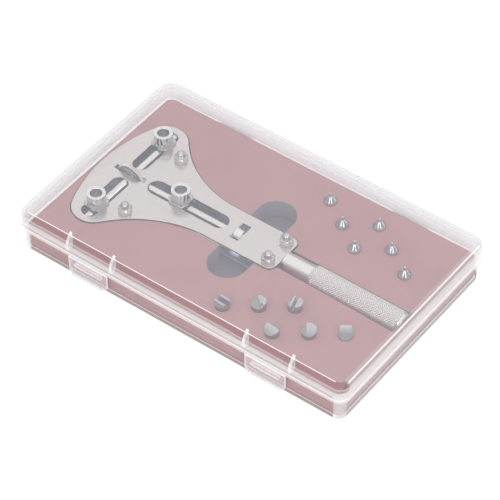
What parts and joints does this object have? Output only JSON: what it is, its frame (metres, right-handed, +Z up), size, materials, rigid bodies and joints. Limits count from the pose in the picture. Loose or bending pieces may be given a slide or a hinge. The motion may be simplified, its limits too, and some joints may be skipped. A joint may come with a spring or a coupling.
{
  "type": "watch case back opener set",
  "caption": "Screw-driven adjustable wrench for unscrewing watch case backs, with spare bits, held in a foam insert inside a hinged clear storage case.",
  "frame": {"origin": "centre of the closed case's footprint, on the surface it stands on", "axes": "+X from the wrench's jaw end to its handle end, +Y from the latches to the hinge, +Z up"},
  "size_m": [0.2, 0.1268, 0.026],
  "materials": {
    "clear_case": "frosted translucent polypropylene",
    "foam": "fine closed-cell foam, burgundy",
    "plate_steel": "satin stainless sheet",
    "plain_steel": "turned",
    "polished_steel": "polished",
    "knurled_steel": "knurled satin",
    "bit_steel": "turned, nickel plated",
    "dark_steel": "black oxide"
  },
  "bodies": {
    "case": {"case_base": "clear_case", "hinge_pins": "plain_steel", "foam_insert": "foam", "top_plate": "plate_steel", "bottom_plate": "plate_steel", "plate_screws": "plain_steel", "cap_nuts": "polished_steel", "nut_washers": "plain_steel", "spacer_tubes": "plain_steel", "tail_block": "plain_steel", "front_bearing": "plain_steel", "cross_bearings": "plain_steel", "pin_bit_1": "bit_steel", "pin_bit_2": "bit_steel", "pin_bit_3": "bit_steel", "pin_bit_4": "bit_steel", "pin_bit_5": "bit_steel", "pin_bit_6": "bit_steel", "blade_bit_1": "bit_steel", "blade_bit_2": "bit_steel", "blade_bit_3": "bit_steel", "blade_bit_4": "bit_steel", "blade_bit_5": "bit_steel", "blade_bit_6": "bit_steel"},
    "lid": {"case_lid": "clear_case"},
    "left_latch": {"latch_left": "clear_case"},
    "right_latch": {"latch_right": "clear_case"},
    "handle": {"lead_screw": "plain_steel", "thrust_collar": "knurled_steel", "collar_screw": "dark_steel", "thrust_washer": "plain_steel", "handle_sleeve": "polished_steel", "handle_grip": "knurled_steel", "handle_cap": "plain_steel"},
    "wheel": {"cross_screw": "plain_steel", "thumb_wheel": "knurled_steel"},
    "jaw_a": {"jaw_block_a": "plain_steel", "jaw_socket_a": "polished_steel"},
    "jaw_b": {"jaw_block_b": "plain_steel", "jaw_socket_b": "polished_steel"},
    "jaw_c": {"jaw_block_c": "plain_steel", "jaw_socket_c": "polished_steel"}
  },
  "joints": [
    {"name": "lid_hinge", "type": "hinge", "parent": "case", "child": "lid", "pos_m": [0, 0.0619, 0.0116], "axis": [-1, 0, 0], "range_deg": [0, 120]},
    {"name": "left_latch_fold", "type": "hinge", "parent": "lid", "child": "left_latch", "pos_m": [-0.0545, -0.0621, 0.0133], "axis": [-1, 0, 0], "range_deg": [0, 130]},
    {"name": "right_latch_fold", "type": "hinge", "parent": "lid", "child": "right_latch", "pos_m": [0.0545, -0.0621, 0.0133], "axis": [-1, 0, 0], "range_deg": [0, 130]},
    {"name": "handle_turn", "type": "hinge", "parent": "case", "child": "handle", "pos_m": [0.05, 0, 0.013], "axis": [1, 0, 0], "range_deg": [-11025, 6300]},
    {"name": "jaw_c_slide", "type": "slide", "parent": "case", "child": "jaw_c", "axis": [1, 0, 0], "range_m": [-0.01401, 0.02451]},
    {"name": "wheel_turn", "type": "hinge", "parent": "case", "child": "wheel", "pos_m": [-0.0764, 0, 0.013], "axis": [0, 1, 0], "range_deg": [-1665, 8100]},
    {"name": "jaw_a_slide", "type": "slide", "parent": "case", "child": "jaw_a", "axis": [0, 1, 0], "range_m": [-0.01801, 0.00371]},
    {"name": "jaw_b_slide", "type": "slide", "parent": "case", "child": "jaw_b", "axis": [0, 1, 0], "range_m": [-0.00371, 0.01801]}
  ],
  "couplings": [
    {"joint": "jaw_c_slide", "follows": "handle_turn", "m_per_rad": -0.00012732},
    {"joint": "jaw_a_slide", "follows": "wheel_turn", "m_per_rad": -0.00012732},
    {"joint": "jaw_b_slide", "follows": "wheel_turn", "m_per_rad": 0.00012732}
  ]
}
